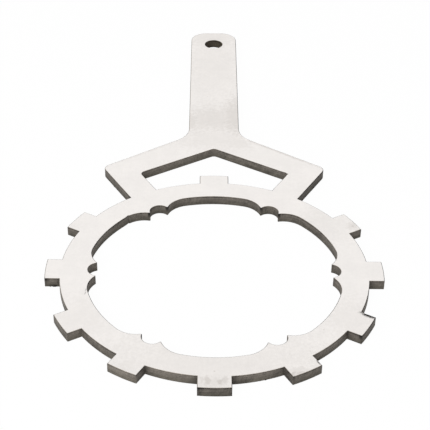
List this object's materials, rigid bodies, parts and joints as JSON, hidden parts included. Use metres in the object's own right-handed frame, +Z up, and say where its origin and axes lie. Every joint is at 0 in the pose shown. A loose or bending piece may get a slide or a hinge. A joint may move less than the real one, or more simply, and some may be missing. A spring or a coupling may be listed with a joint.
{
  "type": "clutch installation tool",
  "caption": "Flat steel clutch tool: a ring with square outer tabs and notched inner pads, on a forked handle with a window and a hanging hole.",
  "frame": {"origin": "centre of the ring, on the plate's underside", "axes": "+Y along the handle, +X across it, +Z up through the plate"},
  "size_m": [0.1534, 0.3083, 0.0048],
  "materials": {
    "steel": "fine satin faces, darker cut edges"
  },
  "bodies": {
    "root": {"tool_plate": "steel"}
  },
  "joints": []
}
